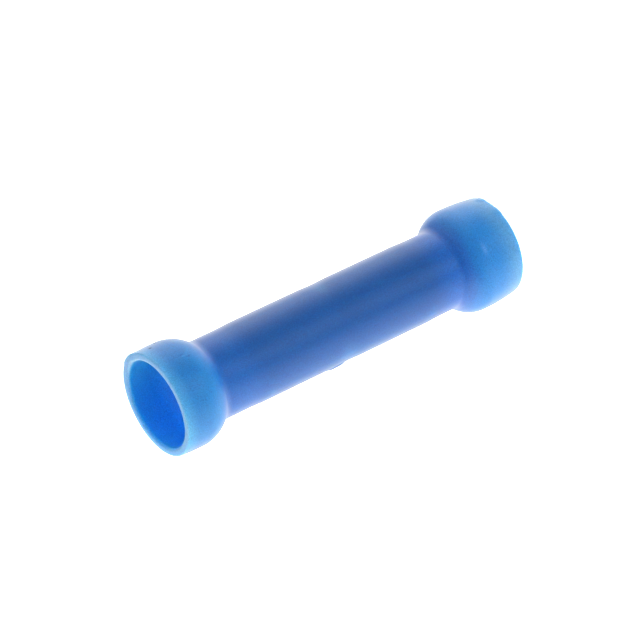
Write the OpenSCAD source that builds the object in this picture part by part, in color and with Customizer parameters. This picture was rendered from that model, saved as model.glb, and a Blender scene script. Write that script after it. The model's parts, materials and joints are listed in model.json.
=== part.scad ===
// Butt splice connector: it joins two insulated wires end to end.
// A metal crimp barrel sits in the middle of a plastic sleeve that opens into a bell at each end.
// It stands on its lower bell, with its axis along +Z and the origin at the middle of the lower rim.

/* [Crimp barrel] */
// Outside diameter of the barrel
barrel_od = 4.0; // [3.6:0.1:4.4]
// Bore of the barrel, which takes the bare conductor
barrel_id = 2.4; // [2.0:0.1:2.8]
// Length of the barrel
barrel_len = 13.6; // [11:0.2:15]
// How far the wire stop stands in from the bore
stop_height = 0.45; // [0.2:0.05:0.6]
// Length of the wire stop's crest along the axis
stop_crest = 1.0; // [0.9:0.1:1.6]
// Bevel at each mouth of the bore
bore_bevel = 0.3; // [0.1:0.05:0.5]

/* [Sleeve] */
// Length of the whole connector
sleeve_len = 26; // [24:0.5:32]
// Wall of the sleeve where it is stretched over the barrel
grip_wall = 0.625; // [0.4:0.005:0.7]
// Wall of the sleeve at the necks
neck_wall = 0.755; // [0.5:0.005:0.8]
// How much the neck's bore is under the barrel's radius, which keeps the barrel in its seat
neck_step = 0.17; // [0.05:0.01:0.25]
// Length of the cone where the sleeve swells over each end of the barrel
swell_len = 1.0; // [0.4:0.1:2]
// Length of the shallow waist over the wire stop
waist_len = 2.4; // [1:0.2:4]
// Depth of that waist
waist_depth = 0.03; // [0.01:0.01:0.08]

/* [Bells] */
// Outside diameter of the bells at their widest
bell_od = 6.88; // [6.2:0.02:7.6]
// Wall of the bells, thinned where the tube was stretched
bell_wall = 0.54; // [0.42:0.02:0.6]
// Length of the upper bell, from its rim to its neck
upper_bell_len = 3.9; // [3.6:0.05:5]
// Length of the lower bell, from its rim to its neck
lower_bell_len = 4.45; // [3.8:0.05:5]
// Radius of the upper bell's shoulder
upper_shoulder_r = 2.5; // [1.2:0.05:3.2]
// Radius of the lower bell's shoulder, the fuller of the two
lower_shoulder_r = 1.9; // [1.2:0.05:3.2]
// Radius of the hollow where the upper bell runs into its neck
upper_throat_r = 1.0; // [0.2:0.05:1.2]
// Radius of the hollow where the lower bell runs into its neck
lower_throat_r = 0.8; // [0.2:0.05:1.2]
// How far the upper rim draws in from the bell's widest radius
upper_rim_draw = 0.05; // [0.02:0.01:0.2]
// How far the lower rim draws in from the bell's widest radius
lower_rim_draw = 0.18; // [0.02:0.01:0.2]
// Rounding of the rim's outer edge
rim_round = 0.1; // [0.06:0.02:0.14]
// Rounding of the rim's inner edge
mouth_round = 0.2; // [0.1:0.02:0.24]

/* [Hidden] */
// Both pieces turn on the same facets, so the sleeve's seat and the barrel meet face to face.
$fn = 72;
// The widest gap allowed between an arc and its chords
chord_gap = 0.008;
barrel_r = barrel_od / 2;
bore_r = barrel_id / 2;
neck_bore_r = barrel_r - neck_step;
neck_r = neck_bore_r + neck_wall;
grip_r = barrel_r + grip_wall;
bell_r = bell_od / 2;
bell_bore_r = bell_r - bell_wall;
// However short the sleeve is, its barrel stops short of both bells.
bell_reach = max(inside_reach(upper_bell_len, upper_shoulder_r, upper_throat_r),
                 inside_reach(lower_bell_len, lower_shoulder_r, lower_throat_r));
seat_len = min(barrel_len, sleeve_len - 2 * bell_reach - swell_len);
seat_low = (sleeve_len - seat_len) / 2;
seat_high = seat_low + seat_len;
// The stop is rolled in from outside with sloping flanks, and the wall keeps its thickness round the bend.
stop_flank = 45;
stop_reach = stop_crest / 2 + stop_height / tan(stop_flank);
bend_shift = (barrel_r - bore_r) * tan(stop_flank / 2);
groove_root = stop_crest / 2 - bend_shift;
groove_reach = stop_reach - bend_shift;
waist_steps = 8;

// Outlines are lists of [radius, height] points, turned about the axis.

// Points along an arc from angle a0 to angle a1, as many as the chord gap asks for
function arc(centre, r, a0, a1) =
    let (steps = ceil(abs(a1 - a0) / (2 * acos(1 - chord_gap / r))))
    [for (i = [0 : steps]) let (a = a0 + (a1 - a0) * i / steps) centre + r * [cos(a), sin(a)]];

// Height that a hollow arc and a round arc, tangent to each other, need to climb from one radius to the other
function climb(rise, r_sum) = sqrt(rise * (2 * r_sum - rise));

// Angle through which those two arcs turn
function lean(rise, r_sum) = acos(1 - rise / r_sum);

// Height of a bell's widest place under its rim
function crown_drop(len, shoulder_r, throat_r) = len - climb(bell_r - neck_r, shoulder_r + throat_r);

// The same two arcs on the inside, where the wall is thinner at the shoulder than at the throat
function inside_sum(shoulder_r, throat_r) = shoulder_r - bell_wall + throat_r + neck_wall;

// How far down from its rim a bell's inside reaches, to where the neck's plain bore starts
function inside_reach(len, shoulder_r, throat_r) =
    crown_drop(len, shoulder_r, throat_r)
        + climb(bell_bore_r - neck_bore_r, inside_sum(shoulder_r, throat_r));

// Radius and angle of the arc by which a wall draws in over a run from its widest place to the rim's rounding
function draw_r(run, draw) = (run * run + draw * draw) / (2 * draw);
function draw_angle(run, draw) = 2 * atan(draw / run);

// Outside of a bell whose rim is at height 0, from the neck up to the rim's top
function bell_outside(len, shoulder_r, throat_r, draw) =
    let (turn = lean(bell_r - neck_r, shoulder_r + throat_r),
         drop = crown_drop(len, shoulder_r, throat_r),
         run = drop - rim_round,
         turn_in = draw_angle(run, draw),
         crown_r = draw_r(run, draw) + rim_round)
    concat(arc([neck_r + throat_r, -len], throat_r, 180, 180 - turn),
           arc([bell_r - shoulder_r, -drop], shoulder_r, -turn, 0),
           arc([bell_r - crown_r, -drop], crown_r, 0, turn_in),
           arc([bell_r - draw - rim_round, -rim_round], rim_round, turn_in, 90));

// Inside of the same bell, from the rim's top down to the neck's bore
function bell_inside(len, shoulder_r, throat_r, draw) =
    let (inner_shoulder_r = shoulder_r - bell_wall,
         inner_throat_r = throat_r + neck_wall,
         turn = lean(bell_bore_r - neck_bore_r, inside_sum(shoulder_r, throat_r)),
         drop = crown_drop(len, shoulder_r, throat_r),
         run = drop - mouth_round,
         turn_in = draw_angle(run, draw),
         crown_r = draw_r(run, draw) - mouth_round)
    concat(arc([bell_bore_r - draw + mouth_round, -mouth_round], mouth_round, 90, 180 + turn_in),
           arc([bell_bore_r - crown_r, -drop], crown_r, turn_in, 0),
           arc([bell_bore_r - inner_shoulder_r, -drop], inner_shoulder_r, 0, -turn),
           arc([neck_bore_r + inner_throat_r, -inside_reach(len, shoulder_r, throat_r)],
               inner_throat_r, 180 - turn, 180));

// A list of points lifted by a height, and one turned upside down and listed the other way round
function lifted(points, height) = [for (p = points) p + [0, height]];
function upended(points) = [for (i = [len(points) - 1 : -1 : 0]) [points[i][0], -points[i][1]]];

// Outside of the sleeve between the necks: it swells over the barrel and has a waist over the wire stop
function grip_outside() =
    concat([[neck_r, seat_low - swell_len / 2], [grip_r, seat_low + swell_len / 2]],
           [for (i = [0 : waist_steps]) let (t = 2 * i / waist_steps - 1)
               [grip_r - waist_depth * (1 + cos(180 * t)) / 2, (sleeve_len + t * waist_len) / 2]],
           [[grip_r, seat_high - swell_len / 2], [neck_r, seat_high + swell_len / 2]]);

// Seat of the barrel: a plain bore between the steps to the necks
function seat_inside() =
    [[neck_bore_r, seat_high], [barrel_r, seat_high], [barrel_r, seat_low], [neck_bore_r, seat_low]];

module insulation_sleeve() {
    color("royalblue", 0.9)
    rotate_extrude()
    polygon(concat(
        upended(bell_outside(lower_bell_len, lower_shoulder_r, lower_throat_r, lower_rim_draw)),
        grip_outside(),
        lifted(bell_outside(upper_bell_len, upper_shoulder_r, upper_throat_r, upper_rim_draw), sleeve_len),
        lifted(bell_inside(upper_bell_len, upper_shoulder_r, upper_throat_r, upper_rim_draw), sleeve_len),
        seat_inside(),
        upended(bell_inside(lower_bell_len, lower_shoulder_r, lower_throat_r, lower_rim_draw))));
}

// Half of the barrel's outline, from the lower mouth up to the wire stop, about mid-height 0
function half_barrel_outside() =
    [[barrel_r, -seat_len / 2],
     [barrel_r, -groove_reach],
     [barrel_r - stop_height, -groove_root]];
function half_barrel_inside() =
    [[bore_r - stop_height, -stop_crest / 2],
     [bore_r, -stop_reach],
     [bore_r, bore_bevel - seat_len / 2],
     [bore_r + bore_bevel, -seat_len / 2]];

module crimp_barrel() {
    color("silver")
    translate([0, 0, sleeve_len / 2])
    rotate_extrude()
    polygon(concat(
        half_barrel_outside(),
        upended(half_barrel_outside()),
        upended(half_barrel_inside()),
        half_barrel_inside()));
}

insulation_sleeve();
crimp_barrel();
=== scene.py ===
"""Butt splice connector: a blue vinyl sleeve with a bell at each end, around a tinned crimp barrel."""

import json
import math

import bmesh
import bpy
from mathutils import Matrix, Vector


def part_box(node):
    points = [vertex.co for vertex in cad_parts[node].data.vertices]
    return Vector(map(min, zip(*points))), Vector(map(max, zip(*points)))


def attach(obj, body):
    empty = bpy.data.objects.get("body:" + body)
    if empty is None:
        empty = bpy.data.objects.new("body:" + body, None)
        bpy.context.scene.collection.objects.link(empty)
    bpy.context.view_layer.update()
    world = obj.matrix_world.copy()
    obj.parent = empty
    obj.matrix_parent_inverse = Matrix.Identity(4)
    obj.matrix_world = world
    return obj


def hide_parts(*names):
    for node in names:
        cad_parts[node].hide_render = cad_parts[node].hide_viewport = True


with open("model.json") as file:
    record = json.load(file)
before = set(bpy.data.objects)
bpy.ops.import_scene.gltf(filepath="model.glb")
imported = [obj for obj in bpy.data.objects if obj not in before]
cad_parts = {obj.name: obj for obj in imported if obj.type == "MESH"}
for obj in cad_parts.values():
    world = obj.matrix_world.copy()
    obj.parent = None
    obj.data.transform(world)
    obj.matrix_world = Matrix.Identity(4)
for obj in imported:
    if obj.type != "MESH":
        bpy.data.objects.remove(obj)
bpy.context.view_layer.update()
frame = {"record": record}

# Sizes that the frame gives, in metres
MM = 0.001
SLEEVE_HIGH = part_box("insulation_sleeve")[1]
BARREL_LOW, BARREL_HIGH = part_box("crimp_barrel")
MOUNTS = {mount["name"]: mount for mount in frame["record"]["mounts"]}
SLEEVE_LEN = SLEEVE_HIGH.z
BELL_R = SLEEVE_HIGH.x
BARREL_R = BARREL_HIGH.x
BORE_R = MOUNTS["upper_conductor_bore"]["dims"]["r_mm"] * MM
NECK_BORE_R = MOUNTS["upper_insulation_bore"]["dims"]["r_mm"] * MM

# The sleeve's section
NECK_WALL = 0.755 * MM
GRIP_WALL = 0.625 * MM
BELL_WALL = 0.54 * MM
NECK_R = NECK_BORE_R + NECK_WALL
GRIP_R = BARREL_R + GRIP_WALL
BELL_BORE_R = BELL_R - BELL_WALL
SWELL_LEN = 1.0 * MM
WAIST_LEN = 2.4 * MM
WAIST_DEPTH = 0.03 * MM
# Each bell's length, shoulder radius, throat radius and how far its rim draws in
UPPER_BELL = (3.9 * MM, 2.5 * MM, 1.0 * MM, 0.05 * MM)
LOWER_BELL = (4.45 * MM, 1.9 * MM, 0.8 * MM, 0.18 * MM)
RIM_ROUND = 0.1 * MM
MOUTH_ROUND = 0.2 * MM

# The barrel's section
STOP_HEIGHT = 0.45 * MM
STOP_CREST = 1.0 * MM
STOP_FLANK = math.radians(45)
BORE_BEVEL = 0.3 * MM
BARREL_EDGE_R = 0.08 * MM
# A hair of air lets light fall on the barrel through the sleeve
SEAT_GAP = 0.02 * MM

# How finely the pieces are turned
CHORD_GAP = 0.0008 * MM
OUTLINE_STEP = 0.25 * MM
WAIST_STEPS = 16
TURNS = 180
WELD = 0.0001 * MM


def arc(centre, radius, start, end):
    """Points along an arc in the radius and height plane, between two angles in degrees."""
    step = math.degrees(2 * math.acos(1 - CHORD_GAP / radius))
    count = max(2, math.ceil(abs(end - start) / step))
    turns = [math.radians(start + (end - start) * i / count) for i in range(count + 1)]
    return [(centre[0] + radius * math.cos(a), centre[1] + radius * math.sin(a)) for a in turns]


def lifted(points, height):
    return [(r, z + height) for r, z in points]


def upended(points):
    return [(r, -z) for r, z in reversed(points)]


def filled(points):
    """The closed outline with its long straights cut into short steps."""
    full = []
    for (r0, z0), (r1, z1) in zip(points, points[1:] + points[:1]):
        length = math.hypot(r1 - r0, z1 - z0)
        if length < WELD:
            continue
        count = math.ceil(length / OUTLINE_STEP)
        full += [(r0 + (r1 - r0) * i / count, z0 + (z1 - z0) * i / count) for i in range(count)]
    return full


def climb(rise, r_sum):
    """Height that two tangent arcs need for a rise in radius, and the angle that each turns."""
    return math.sqrt(rise * (2 * r_sum - rise)), math.degrees(math.acos(1 - rise / r_sum))


def draw_in(run, draw):
    """Radius and angle of the arc by which a wall draws in over a run up to the rim's rounding."""
    return (run * run + draw * draw) / (2 * draw), math.degrees(2 * math.atan(draw / run))


def bell(length, shoulder_r, throat_r, draw):
    """Outside and inside of a bell with its rim at height 0: from the neck to the rim, and back down."""
    rise, turn = climb(BELL_R - NECK_R, shoulder_r + throat_r)
    crown = rise - length
    draw_r, draw_turn = draw_in(-crown - RIM_ROUND, draw)
    outside = (
        arc((NECK_R + throat_r, -length), throat_r, 180, 180 - turn)
        + arc((BELL_R - shoulder_r, crown), shoulder_r, -turn, 0)
        + arc((BELL_R - draw_r - RIM_ROUND, crown), draw_r + RIM_ROUND, 0, draw_turn)
        + arc((BELL_R - draw - RIM_ROUND, -RIM_ROUND), RIM_ROUND, draw_turn, 90)
    )
    in_shoulder_r = shoulder_r - BELL_WALL
    in_throat_r = throat_r + NECK_WALL
    in_rise, in_turn = climb(BELL_BORE_R - NECK_BORE_R, in_shoulder_r + in_throat_r)
    in_draw_r, in_draw_turn = draw_in(-crown - MOUTH_ROUND, draw)
    inside = (
        arc((BELL_BORE_R - draw + MOUTH_ROUND, -MOUTH_ROUND), MOUTH_ROUND, 90, 180 + in_draw_turn)
        + arc((BELL_BORE_R - in_draw_r + MOUTH_ROUND, crown), in_draw_r - MOUTH_ROUND, in_draw_turn, 0)
        + arc((BELL_BORE_R - in_shoulder_r, crown), in_shoulder_r, 0, -in_turn)
        + arc((NECK_BORE_R + in_throat_r, crown - in_rise), in_throat_r, 180 - in_turn, 180)
    )
    return outside, inside


def sleeve_outline():
    """Closed outline of the sleeve: up its outside and down its inside, past the barrel's seat."""
    upper_outside, upper_inside = bell(*UPPER_BELL)
    lower_outside, lower_inside = bell(*LOWER_BELL)
    waist = []
    for i in range(WAIST_STEPS + 1):
        t = 2 * i / WAIST_STEPS - 1
        depth = WAIST_DEPTH * (1 + math.cos(math.pi * t)) / 2
        waist.append((GRIP_R - depth, (SLEEVE_LEN + t * WAIST_LEN) / 2))
    grip = (
        [(NECK_R, BARREL_LOW.z - SWELL_LEN / 2), (GRIP_R, BARREL_LOW.z + SWELL_LEN / 2)]
        + waist
        + [(GRIP_R, BARREL_HIGH.z - SWELL_LEN / 2), (NECK_R, BARREL_HIGH.z + SWELL_LEN / 2)]
    )
    seat = [
        (NECK_BORE_R, BARREL_HIGH.z),
        (BARREL_R, BARREL_HIGH.z),
        (BARREL_R, BARREL_LOW.z),
        (NECK_BORE_R, BARREL_LOW.z),
    ]
    return filled(
        upended(lower_outside)
        + grip
        + lifted(upper_outside, SLEEVE_LEN)
        + lifted(upper_inside, SLEEVE_LEN)
        + seat
        + upended(lower_inside)
    )


def barrel_outline():
    """Closed outline of the barrel, with its edges eased and the wire stop rolled in at mid-height."""
    outer_r = BARREL_R - SEAT_GAP
    half = (BARREL_HIGH.z - BARREL_LOW.z) / 2
    bend = (BARREL_R - BORE_R) * math.tan(STOP_FLANK / 2)
    reach = STOP_CREST / 2 + STOP_HEIGHT / math.tan(STOP_FLANK)
    edge = arc((outer_r - BARREL_EDGE_R, BARREL_EDGE_R - half), BARREL_EDGE_R, -90, 0)
    outside = edge + [(outer_r, bend - reach), (outer_r - STOP_HEIGHT, bend - STOP_CREST / 2)]
    inside = [
        (BORE_R - STOP_HEIGHT, -STOP_CREST / 2),
        (BORE_R, -reach),
        (BORE_R, BORE_BEVEL - half),
        (BORE_R + BORE_BEVEL, -half),
    ]
    return filled(lifted(outside + upended(outside) + upended(inside) + inside, SLEEVE_LEN / 2))


def set_inputs(tree, node, inputs):
    """Sets a node's inputs to values, or links them to other nodes' outputs."""
    for socket, value in inputs.items():
        if isinstance(value, bpy.types.NodeSocket):
            tree.links.new(value, node.inputs[socket])
        else:
            node.inputs[socket].default_value = value


def add_node(tree, kind, inputs, **settings):
    made = tree.nodes.new(kind)
    for name, value in settings.items():
        setattr(made, name, value)
    set_inputs(tree, made, inputs)
    return made


def reckon(tree, operation, a, b):
    return add_node(tree, "ShaderNodeMath", {0: a, 1: b}, operation=operation).outputs[0]


def lathe_tree():
    """Geometry Nodes that turn a closed outline once about the Z axis."""
    tree = bpy.data.node_groups.new("Lathe", "GeometryNodeTree")
    new_socket = tree.interface.new_socket
    new_socket("Outline", in_out="INPUT", socket_type="NodeSocketGeometry")
    new_socket("Turns", in_out="INPUT", socket_type="NodeSocketInt")
    new_socket("Finish", in_out="INPUT", socket_type="NodeSocketMaterial")
    new_socket("Piece", in_out="OUTPUT", socket_type="NodeSocketGeometry")
    given = tree.nodes.new("NodeGroupInput").outputs

    def whole(operation, a, b):
        return add_node(tree, "FunctionNodeIntegerMath", {0: a, 1: b}, operation=operation).outputs[0]

    size = add_node(tree, "GeometryNodeAttributeDomainSize", {"Geometry": given["Outline"]})
    points = size.outputs["Point Count"]
    columns = whole("ADD", given["Turns"], 1)
    rows = whole("ADD", points, 1)
    grid = add_node(tree, "GeometryNodeMeshGrid", {"Vertices X": rows, "Vertices Y": columns})
    index = tree.nodes.new("GeometryNodeInputIndex").outputs[0]
    row = whole("MODULO", whole("DIVIDE_FLOOR", index, columns), points)
    column = whole("MODULO", index, columns)
    angle = reckon(tree, "MULTIPLY", reckon(tree, "DIVIDE", column, given["Turns"]), math.tau)
    place = tree.nodes.new("GeometryNodeInputPosition").outputs[0]
    outline_point = add_node(
        tree,
        "GeometryNodeSampleIndex",
        {"Geometry": given["Outline"], "Value": place, "Index": row},
        data_type="FLOAT_VECTOR",
    )
    turned = add_node(
        tree,
        "ShaderNodeVectorRotate",
        {"Vector": outline_point.outputs["Value"], "Angle": angle},
        rotation_type="Z_AXIS",
    )
    wall = add_node(
        tree,
        "GeometryNodeSetPosition",
        {"Geometry": grid.outputs["Mesh"], "Position": turned.outputs[0]},
    )
    welded = add_node(
        tree, "GeometryNodeMergeByDistance", {"Geometry": wall.outputs[0], "Distance": WELD}
    )
    smooth = add_node(tree, "GeometryNodeSetShadeSmooth", {"Geometry": welded.outputs[0]})
    solid = add_node(tree, "GeometryNodeRealizeInstances", {"Geometry": smooth.outputs[0]})
    done = add_node(
        tree, "GeometryNodeSetMaterial", {"Geometry": solid.outputs[0], "Material": given["Finish"]}
    )
    result = tree.nodes.new("NodeGroupOutput")
    tree.links.new(done.outputs[0], result.inputs["Piece"])
    return tree


def lathe(name, tree, outline, finish):
    """A piece turned from an outline of radius and height points, as a plain mesh with faces outward."""
    count = len(outline)
    corners = [(r, 0, z) for r, z in outline]
    edges = [(i, (i + 1) % count) for i in range(count)]
    mesh = bpy.data.meshes.new(name + "_outline")
    mesh.from_pydata(corners, edges, [])
    blank = bpy.data.objects.new(name + "_outline", mesh)
    bpy.context.scene.collection.objects.link(blank)
    modifier = blank.modifiers.new("Lathe", "NODES")
    modifier.node_group = tree
    sizes = {"Turns": TURNS, "Finish": finish}
    for item in tree.interface.items_tree:
        if item.in_out == "INPUT" and item.name in sizes:
            modifier[item.identifier] = sizes[item.name]
    evaluated = blank.evaluated_get(bpy.context.evaluated_depsgraph_get())
    turned = bpy.data.meshes.new_from_object(evaluated)
    bpy.data.objects.remove(blank)
    turned.name = name
    shell = bmesh.new()
    shell.from_mesh(turned)
    bmesh.ops.recalc_face_normals(shell, faces=shell.faces)
    shell.to_mesh(turned)
    shell.free()
    piece = bpy.data.objects.new(name, turned)
    bpy.context.scene.collection.objects.link(piece)
    return piece


def mm(x, y, z):
    """A place or a length along each axis, given in millimetres."""
    return Vector((x, y, z)) * MM


# The lean of each cut rim, as the height that it gains for each length across
UPPER_RIM_LEAN = 0.018
LOWER_RIM_LEAN = 0.008
LEAN_REACH = 2.5 * MM
# Presses on the wall, each as its middle, its reach along each axis and its push
RIM_CORNER = (mm(3.3, 0.7, 26.0), mm(0.7, 1.1, 0.6), mm(0.04, 0.03, 0.03))
FLASH_SLIVER = (mm(-2.6, 0.1, 13.78), mm(0.5, 0.22, 0.8), mm(-0.08, 0.0, 0.0))
LEFT_CUT_CORNER = (mm(1.8, -2.72, 0.1), mm(0.45, 0.45, 0.5), mm(0.03, -0.05, 0.0))
RIGHT_CUT_CORNER = (mm(2.9, -1.5, 0.1), mm(0.45, 0.45, 0.5), mm(0.05, -0.03, 0.0))
PRESSES = (RIM_CORNER, FLASH_SLIVER, LEFT_CUT_CORNER, RIGHT_CUT_CORNER)
# The share of its reach over which a press keeps its full push
PRESS_FLAT = 0.5


def ease(share):
    """0 to 1 with soft ends."""
    share = min(1.0, max(0.0, share))
    return share * share * (3 - 2 * share)


def press(piece):
    """Lets the sleeve's rims lean and presses its wall where the tube was cut and handled."""
    for vertex in piece.data.vertices:
        place = vertex.co.copy()
        near_upper = ease(1 - (SLEEVE_LEN - place.z) / LEAN_REACH)
        near_lower = ease(1 - place.z / LEAN_REACH)
        vertex.co.z += UPPER_RIM_LEAN * place.x * near_upper
        vertex.co.z += LOWER_RIM_LEAN * (BELL_R - place.x) * near_lower
        for middle, reach, push in PRESSES:
            away = place - middle
            share = math.hypot(away.x / reach.x, away.y / reach.y, away.z / reach.z)
            vertex.co += push * ease((1 - share) / (1 - PRESS_FLAT))


def new_material(name):
    """A material with its nodes, its shader and the place on the piece that its patterns follow."""
    material = bpy.data.materials.new(name)
    material.use_nodes = True
    tree = material.node_tree
    where = tree.nodes.new("ShaderNodeTexCoord").outputs["Object"]
    return material, tree, tree.nodes["Principled BSDF"], where


def ramp(tree, value, low, high, first=0.0, last=1.0, soft=True):
    """A number that goes from first to last while a value goes from low to high."""
    return add_node(
        tree,
        "ShaderNodeMapRange",
        {"Value": value, "From Min": low, "From Max": high, "To Min": first, "To Max": last},
        interpolation_type="SMOOTHSTEP" if soft else "LINEAR",
    ).outputs["Result"]


def blend(tree, factor, first, second, mode="MIX"):
    return add_node(
        tree,
        "ShaderNodeMix",
        {"Factor": factor, "A": first, "B": second},
        data_type="RGBA",
        blend_type=mode,
    ).outputs["Result"]


def noise(tree, where, scale, detail):
    return add_node(
        tree, "ShaderNodeTexNoise", {"Vector": where, "Scale": scale, "Detail": detail}
    ).outputs["Fac"]


def relief(tree, pattern, strength, depth):
    return add_node(
        tree, "ShaderNodeBump", {"Height": pattern, "Strength": strength, "Distance": depth}
    ).outputs["Normal"]


# The vinyl's blues, as linear light
UPPER_BELL_BLUE = (0.009, 0.175, 0.4, 1)
# The lower bell's blue is the vinyl's own blue with painted light added, to lift the shade where it
# stands on the floor
LOWER_BELL_BLUE_AND_PAINTED_LIGHT = (0.01, 0.193, 0.47, 1)
# Painted light: the rims are painted paler, a painted highlight at the upper rim and painted light at
# the lower rim to lift the shade where it stands on the floor
UPPER_RIM_PAINTED_LIGHT_BLUE = (0.053, 0.28, 0.455, 1)
LOWER_RIM_PAINTED_LIGHT_BLUE = (0.099, 0.306, 0.455, 1)
# Painted highlight on the flat lips
LIP_PAINTED_HIGHLIGHT_BLUE = (0.108, 0.284, 0.435, 1)
# Painted light: the inner wall, seen inside the mouth, is painted paler than the same vinyl outside
MOUTH_PAINTED_LIGHT_BLUE = (0.043, 0.35, 0.563, 1)
UPPER_NECK_BLUE = (0.001, 0.096, 0.355, 1)
LOWER_NECK_BLUE = (0.001, 0.106, 0.41, 1)
# Painted shade: the grip is painted deeper where the barrel backs the wall
GRIP_PAINTED_SHADE_BLUE = (0.001, 0.077, 0.292, 1)
# Where one blue gives way to the next, and the lengths over which they fade
HALVES_FADE = 2.0 * MM
UPPER_RIM_PALE = 0.5 * MM
UPPER_RIM_FADE = 1.0 * MM
LOWER_RIM_PALE = 1.0 * MM
LOWER_RIM_FADE = 2.4 * MM
LIP_PALE = 0.07 * MM
LIP_FADE = 0.24 * MM
TUBE_LOW = 3.75 * MM
TUBE_HIGH = 23.0 * MM
TUBE_FADE = 1.3 * MM
GRIP_PAST_LOW = 0.6 * MM
GRIP_PAST_HIGH = 0.2 * MM
GRIP_FADE = 2.2 * MM
WALL_FADE = 0.16 * MM
# Painted light along the tube: paler places, each as its middle, its reach along each axis and the light
# added
SPOT_REACH = mm(0.9, 1.3, 0.7)
WIDE_SPOT_REACH = 1.5 * SPOT_REACH
SIDE_REACH = mm(1.2, 2.2, 11.0)
PAINTED_LIGHT_SPOTS = (
    (mm(-2.3, -1.2, 6.8), SPOT_REACH, (0.0, 0.035, 0.06, 1)),
    (mm(-2.3, -1.2, 13.3), WIDE_SPOT_REACH, (0.0, 0.02, 0.03, 1)),
    (mm(-2.3, -1.2, 19.2), SPOT_REACH, (0.0, 0.02, 0.03, 1)),
    (mm(2.2, -1.3, 13.3), SPOT_REACH, (0.0, 0.03, 0.03, 1)),
    (mm(-2.5, -0.4, 13.0), SIDE_REACH, (0.0, 0.03, 0.03, 1)),
    (mm(2.5, -0.4, 13.0), SIDE_REACH, (0.0, 0.02, 0.04, 1)),
)
# Marks on the bells and at the flash, among them a painted highlight and a painted shadow, each as its
# middle, its reach along each axis and its colour
# Painted highlight on the front of the lower bell
PAINTED_HIGHLIGHT_BLUE = (0.05, 0.25, 0.53, 1)
RIDGE_BLUE = (0.03, 0.22, 0.47, 1)
SCRATCH_BLUE = (0.004, 0.12, 0.33, 1)
SPECK_BLUE = (0.02, 0.06, 0.14, 1)
FLASH_GREY = (0.16, 0.27, 0.42, 1)
# Painted shadow in the crease at the foot of the flash
CREASE_PAINTED_SHADOW_BLUE = (0.01, 0.05, 0.17, 1)
MARKS = (
    # Painted highlight
    (mm(0.0, -3.4, 2.65), mm(0.65, 1.0, 0.24), PAINTED_HIGHLIGHT_BLUE),
    (mm(-0.89, -3.27, 2.47), mm(0.07, 0.3, 0.07), SCRATCH_BLUE),
    (mm(2.04, -2.66, 24.38), mm(0.09, 0.5, 0.26), SCRATCH_BLUE),
    (mm(1.8, -2.83, 24.0), mm(0.09, 0.5, 0.3), SCRATCH_BLUE),
    (mm(1.93, -2.74, 24.24), mm(0.08, 0.5, 0.42), RIDGE_BLUE),
    (mm(3.36, -0.71, 24.63), mm(0.12, 0.2, 0.1), SPECK_BLUE),
    (mm(3.2, -1.22, 25.28), mm(0.1, 0.2, 0.17), SPECK_BLUE),
    # Painted shadow in the crease
    (mm(-2.6, -0.26, 13.7), mm(0.2, 0.32, 0.75), CREASE_PAINTED_SHADOW_BLUE),
    (mm(-2.72, 0.06, 13.78), mm(0.14, 0.28, 0.85), FLASH_GREY),
)
MATTE_MARKS = (SPECK_BLUE, CREASE_PAINTED_SHADOW_BLUE)
# The vinyl's clouds and grain
CLOUD_SCALE = 350.0
CLOUD_DETAIL = 3.0
CLOUD_DEPTH = 0.06
GRAIN_SCALE = 15000.0
GRAIN_DETAIL = 1.0
GRAIN_DEPTH = 0.5
GRAIN_HEIGHT = 0.007 * MM
GRAIN_RELIEF = 1.0
# The vinyl's gloss, the film that grows where the wall turns away, and how deep light goes into the wall
VINYL_ROUGHNESS = 0.332
VINYL_IOR = 1.5
VINYL_GLOSS = 0.5
FILM_BLEND = 0.5
FILM_FROM = 0.5
FILM_FULL = 0.85
LIGHT_DEPTH = 1.542 * MM
LIGHT_DEPTH_SHARES = (0.2, 0.74, 1.35)


def zone(tree, height, low, high, low_fade, high_fade):
    """1 between two heights on the sleeve, fading to 0 over a length at each end."""
    rise = ramp(tree, height, low - low_fade / 2, low + low_fade / 2)
    fall = ramp(tree, height, high + high_fade / 2, high - high_fade / 2)
    return reckon(tree, "MULTIPLY", rise, fall)


def spot(tree, where, middle, reach):
    """1 at a place on the sleeve, fading to 0 at a reach along each axis."""
    away = add_node(tree, "ShaderNodeVectorMath", {0: where, 1: middle}, operation="SUBTRACT")
    share = add_node(tree, "ShaderNodeVectorMath", {0: away.outputs[0], 1: reach}, operation="DIVIDE")
    length = add_node(tree, "ShaderNodeVectorMath", {0: share.outputs[0]}, operation="LENGTH")
    return ramp(tree, length.outputs["Value"], 0.0, 1.0, 1.0, 0.0)


def narrowing(bell_sizes):
    """How far from its rim the middle of a bell's narrowing lies, and how long the narrowing is."""
    length, shoulder_r, throat_r = bell_sizes[:3]
    run = climb(BELL_R - NECK_R, shoulder_r + throat_r)[0]
    return length - run / 2, run


def outer_wall(tree, where, height):
    """1 on the sleeve's outer wall and 0 on its inner wall, parted midway through the wall."""
    across = add_node(tree, "ShaderNodeVectorMath", {0: where, 1: (1, 1, 0)}, operation="MULTIPLY")
    radius = add_node(tree, "ShaderNodeVectorMath", {0: across.outputs[0]}, operation="LENGTH")
    from_upper_rim, upper_run = narrowing(UPPER_BELL)
    from_lower_rim, lower_run = narrowing(LOWER_BELL)
    neck = zone(tree, height, from_lower_rim, SLEEVE_LEN - from_upper_rim, lower_run, upper_run)
    bell_middle = BELL_R - BELL_WALL / 2
    neck_middle = NECK_R - NECK_WALL / 2
    wall_middle = ramp(tree, neck, 0.0, 1.0, bell_middle, neck_middle, soft=False)
    beyond = reckon(tree, "SUBTRACT", radius.outputs["Value"], wall_middle)
    return ramp(tree, beyond, -WALL_FADE / 2, WALL_FADE / 2, soft=False)


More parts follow.
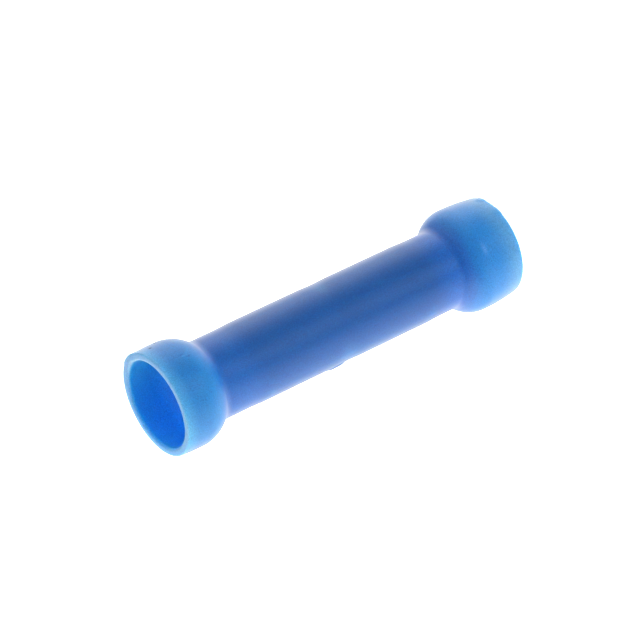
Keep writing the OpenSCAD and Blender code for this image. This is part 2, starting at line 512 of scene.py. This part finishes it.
def vinyl_blue(tree, where):
    """The sleeve's blue: painted shade deep where the barrel backs it, painted light at the rims, the
    lips, inside the mouth and in spots along the tube, with marks among which are a painted highlight
    and a painted shadow.
    """
    height = add_node(tree, "ShaderNodeSeparateXYZ", {"Vector": where}).outputs["Z"]
    upper_half = ramp(tree, height, (SLEEVE_LEN - HALVES_FADE) / 2, (SLEEVE_LEN + HALVES_FADE) / 2)
    upper_rim = SLEEVE_LEN - UPPER_RIM_PALE
    between_rims = zone(tree, height, LOWER_RIM_PALE, upper_rim, LOWER_RIM_FADE, UPPER_RIM_FADE)
    between_lips = zone(tree, height, LIP_PALE, SLEEVE_LEN - LIP_PALE, LIP_FADE, LIP_FADE)
    tube = zone(tree, height, TUBE_LOW, TUBE_HIGH, TUBE_FADE, TUBE_FADE)
    grip_low = BARREL_LOW.z - GRIP_PAST_LOW
    grip_high = BARREL_HIGH.z + GRIP_PAST_HIGH
    grip = zone(tree, height, grip_low, grip_high, GRIP_FADE, GRIP_FADE)
    bells = blend(tree, upper_half, LOWER_BELL_BLUE_AND_PAINTED_LIGHT, UPPER_BELL_BLUE)
    painted_light_rims = blend(tree, upper_half, LOWER_RIM_PAINTED_LIGHT_BLUE, UPPER_RIM_PAINTED_LIGHT_BLUE)
    necks = blend(tree, upper_half, LOWER_NECK_BLUE, UPPER_NECK_BLUE)
    # Painted light at the rims
    blue = blend(tree, between_rims, painted_light_rims, bells)
    # Painted light on the inner wall
    blue = blend(tree, outer_wall(tree, where, height), MOUTH_PAINTED_LIGHT_BLUE, blue)
    # Painted highlight on the lips
    blue = blend(tree, between_lips, LIP_PAINTED_HIGHLIGHT_BLUE, blue)
    blue = blend(tree, tube, blue, necks)
    # Painted shade over the barrel
    blue = blend(tree, grip, blue, GRIP_PAINTED_SHADE_BLUE)
    # Painted light added along the tube
    for middle, reach, painted_light in PAINTED_LIGHT_SPOTS:
        blue = blend(tree, spot(tree, where, middle, reach), blue, painted_light, "ADD")
    for middle, reach, colour in MARKS:
        blue = blend(tree, spot(tree, where, middle, reach), blue, colour)
    return blue


def vinyl_shine(tree, where):
    """1 on the glossy vinyl, fading to 0 on its matte marks."""
    shine = 1.0
    for middle, reach, colour in MARKS:
        if colour in MATTE_MARKS:
            mark = spot(tree, where, middle, reach)
            shine = reckon(tree, "MULTIPLY", shine, reckon(tree, "SUBTRACT", 1.0, mark))
    return shine


def vinyl():
    """Soft translucent blue vinyl with fine grain, faint clouds and a glossy film."""
    material, tree, shader, where = new_material("blue_vinyl")
    blue = vinyl_blue(tree, where)
    clouds = noise(tree, where, CLOUD_SCALE, CLOUD_DETAIL)
    grain = noise(tree, where, GRAIN_SCALE, GRAIN_DETAIL)
    for pattern, depth in ((clouds, CLOUD_DEPTH), (grain, GRAIN_DEPTH)):
        shade = ramp(tree, pattern, 0.0, 1.0, 1 - depth, 1 + depth, soft=False)
        blue = blend(tree, 1.0, blue, shade, "MULTIPLY")
    shine = vinyl_shine(tree, where)
    turned_away = add_node(tree, "ShaderNodeLayerWeight", {"Blend": FILM_BLEND}).outputs["Facing"]
    film = ramp(tree, turned_away, FILM_FROM, FILM_FULL)
    looks = {
        "Base Color": blue,
        "Normal": relief(tree, grain, GRAIN_RELIEF, GRAIN_HEIGHT),
        "Roughness": VINYL_ROUGHNESS,
        "IOR": VINYL_IOR,
        "Specular IOR Level": reckon(tree, "MULTIPLY", shine, VINYL_GLOSS),
        "Coat Weight": reckon(tree, "MULTIPLY", film, shine),
        "Coat Roughness": VINYL_ROUGHNESS,
        "Subsurface Weight": 1.0,
        "Subsurface Radius": LIGHT_DEPTH_SHARES,
        "Subsurface Scale": LIGHT_DEPTH,
    }
    set_inputs(tree, shader, looks)
    return material


# The tin plate's looks
TIN_DARK = (0.52, 0.52, 0.51, 1)
TIN_BRIGHT = (0.78, 0.78, 0.76, 1)
TIN_SMOOTHEST = 0.26
TIN_ROUGHEST = 0.44
DRAWN_STRETCH = (1.0, 1.0, 12.0)
DRAWN_SCALE = 1500.0
DRAWN_DETAIL = 4.0
DRAWN_RELIEF = 0.2
DRAWN_HEIGHT = 0.01 * MM


def tin():
    """Satin tin plate with fine drawing marks round the tube."""
    material, tree, shader, where = new_material("tinned_copper")
    stretched = add_node(tree, "ShaderNodeMapping", {"Vector": where, "Scale": DRAWN_STRETCH})
    marks = noise(tree, stretched.outputs["Vector"], DRAWN_SCALE, DRAWN_DETAIL)
    looks = {
        "Base Color": blend(tree, marks, TIN_DARK, TIN_BRIGHT),
        "Normal": relief(tree, marks, DRAWN_RELIEF, DRAWN_HEIGHT),
        "Roughness": ramp(tree, marks, 0.0, 1.0, TIN_SMOOTHEST, TIN_ROUGHEST, soft=False),
        "Metallic": 1.0,
    }
    set_inputs(tree, shader, looks)
    return material


# The floor is a light table, brighter on the left of the connector, so it throws no dark shadow
WHITE = (1, 1, 1, 1)
FLOOR_DARKER = (0.92, 0.92, 0.92, 1)
FLOOR_PALER = (0.95, 0.95, 0.95, 1)
MOTTLE_SCALE = 30.0
MOTTLE_DETAIL = 2.0
FLOOR_ROUGHNESS = 0.9
FLOOR_GLOSS = 0.1
FLOOR_GLOW_LEFT = 1.5
FLOOR_GLOW_RIGHT = 0.5
FLOOR_FADE = 20 * MM
FLOOR_HALF = 1.5


def add_floor():
    """A wide pale floor under the lower rim, which mirrored rays pass through."""
    material, tree, shader, where = new_material("pale_floor")
    mottle = noise(tree, where, MOTTLE_SCALE, MOTTLE_DETAIL)
    across = add_node(tree, "ShaderNodeSeparateXYZ", {"Vector": where}).outputs["X"]
    looks = {
        "Base Color": blend(tree, mottle, FLOOR_DARKER, FLOOR_PALER),
        "Roughness": FLOOR_ROUGHNESS,
        "Specular IOR Level": FLOOR_GLOSS,
        "Emission Color": WHITE,
        "Emission Strength": ramp(
            tree, across, -FLOOR_FADE, FLOOR_FADE, FLOOR_GLOW_LEFT, FLOOR_GLOW_RIGHT
        ),
    }
    set_inputs(tree, shader, looks)
    sides = ((-1, -1), (1, -1), (1, 1), (-1, 1))
    mesh = bpy.data.meshes.new("floor")
    mesh.from_pydata([(x * FLOOR_HALF, y * FLOOR_HALF, 0) for x, y in sides], [], [(0, 1, 2, 3)])
    mesh.materials.append(material)
    floor = bpy.data.objects.new("floor", mesh)
    floor.visible_glossy = False
    bpy.context.scene.collection.objects.link(floor)


# The photograph's camera: its distance, its tilt and where the connector's axis runs in the picture
PICTURE = 640
PIXELS_PER_MM = 16.232
CAMERA_DISTANCE = 194.5 * MM
CAMERA_TILT = math.radians(28.4)
CAMERA_NEAREST = 10 * MM
AXIS_ACROSS = 0.90293
AXIS_DOWN = -0.42979
MIDDLE_PIXEL = (328.54, 322.9)
SENSOR = 36.0


def add_camera():
    """Looks at the connector's middle, rolled so that the upper mouth points down to the left."""
    towards = Vector((0, -math.cos(CAMERA_TILT), math.sin(CAMERA_TILT)))
    along = Vector((0, math.sin(CAMERA_TILT), math.cos(CAMERA_TILT)))
    side = towards.cross(along)
    right = -AXIS_ACROSS * along - AXIS_DOWN * side
    up = AXIS_DOWN * along - AXIS_ACROSS * side
    data = bpy.data.cameras.new("camera")
    data.sensor_width = SENSOR
    data.lens = PIXELS_PER_MM * CAMERA_DISTANCE / MM / PICTURE * SENSOR
    data.shift_x = (PICTURE / 2 - MIDDLE_PIXEL[0]) / PICTURE
    data.shift_y = (MIDDLE_PIXEL[1] - PICTURE / 2) / PICTURE
    data.clip_start = CAMERA_NEAREST
    camera = bpy.data.objects.new("camera", data)
    turn = Matrix((right, up, towards)).transposed().to_4x4()
    middle = Vector((0, 0, SLEEVE_LEN / 2))
    camera.matrix_world = Matrix.Translation(middle + CAMERA_DISTANCE * towards) @ turn
    bpy.context.scene.collection.objects.link(camera)
    bpy.context.scene.camera = camera


# The tent's light over the floor, and under it, where only mirrored rays see it
TENT_OVER = 0.97
TENT_UNDER = 2.306
HORIZON_FADE = 0.05
# Panels and dark cards, as the aim, the cosines of the edge and the middle, and the share of light added
KEY_PANEL = ((-1.113, 0.65, 0.4), 0.35, 0.95, 1.759)
FRONT_CARD = ((0.1, -0.85, 0.5), 0.3, 1.0, -0.551)
LOW_PANEL = ((0.0, -0.869, -0.494), 0.92, 1.0, 1.7)
LOW_CARD = ((0.2, -0.8, -0.494), 0.3, 0.97, -0.771)
BACK_CARD = ((0.0, 0.88, -0.4756), 0.4, 0.966, -0.55)
FLOOR_CARD = ((0.0, 0.0, -1.0), 0.92, 0.99, -0.65)


def add_light():
    """A white tent all round, bright behind on the left and dim in front, where the camera looks in."""
    world = bpy.data.worlds.new("tent")
    world.use_nodes = True
    tree = world.node_tree
    aim = tree.nodes.new("ShaderNodeTexCoord").outputs["Generated"]

    def towards(direction):
        unit = Vector(direction).normalized()
        cosine = add_node(tree, "ShaderNodeVectorMath", {0: aim, 1: unit}, operation="DOT_PRODUCT")
        return cosine.outputs["Value"]

    def lit(light, panels):
        for direction, edge, middle, gain in panels:
            panel = ramp(tree, towards(direction), edge, middle, 1.0, 1.0 + gain)
            light = reckon(tree, "MULTIPLY", light, panel)
        return light

    tent = {
        "Factor": ramp(tree, towards((0, 0, 1)), -HORIZON_FADE, HORIZON_FADE),
        "A": lit(TENT_UNDER, (LOW_CARD, LOW_PANEL, BACK_CARD, FLOOR_CARD)),
        "B": lit(TENT_OVER, (KEY_PANEL, FRONT_CARD)),
    }
    strength = add_node(tree, "ShaderNodeMix", tent).outputs["Result"]
    set_inputs(tree, tree.nodes["Background"], {"Color": WHITE, "Strength": strength})
    bpy.context.scene.world = world
    bpy.context.scene.view_settings.view_transform = "Standard"


add_camera()
add_light()
add_floor()
lathe_nodes = lathe_tree()
sleeve = lathe("sleeve", lathe_nodes, sleeve_outline(), vinyl())
press(sleeve)
barrel = lathe("barrel", lathe_nodes, barrel_outline(), tin())
for piece, node, slot in (
    (sleeve, "insulation_sleeve", "sleeve_vinyl"),
    (barrel, "crimp_barrel", "barrel_metal"),
):
    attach(piece, "root")
    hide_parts(node)
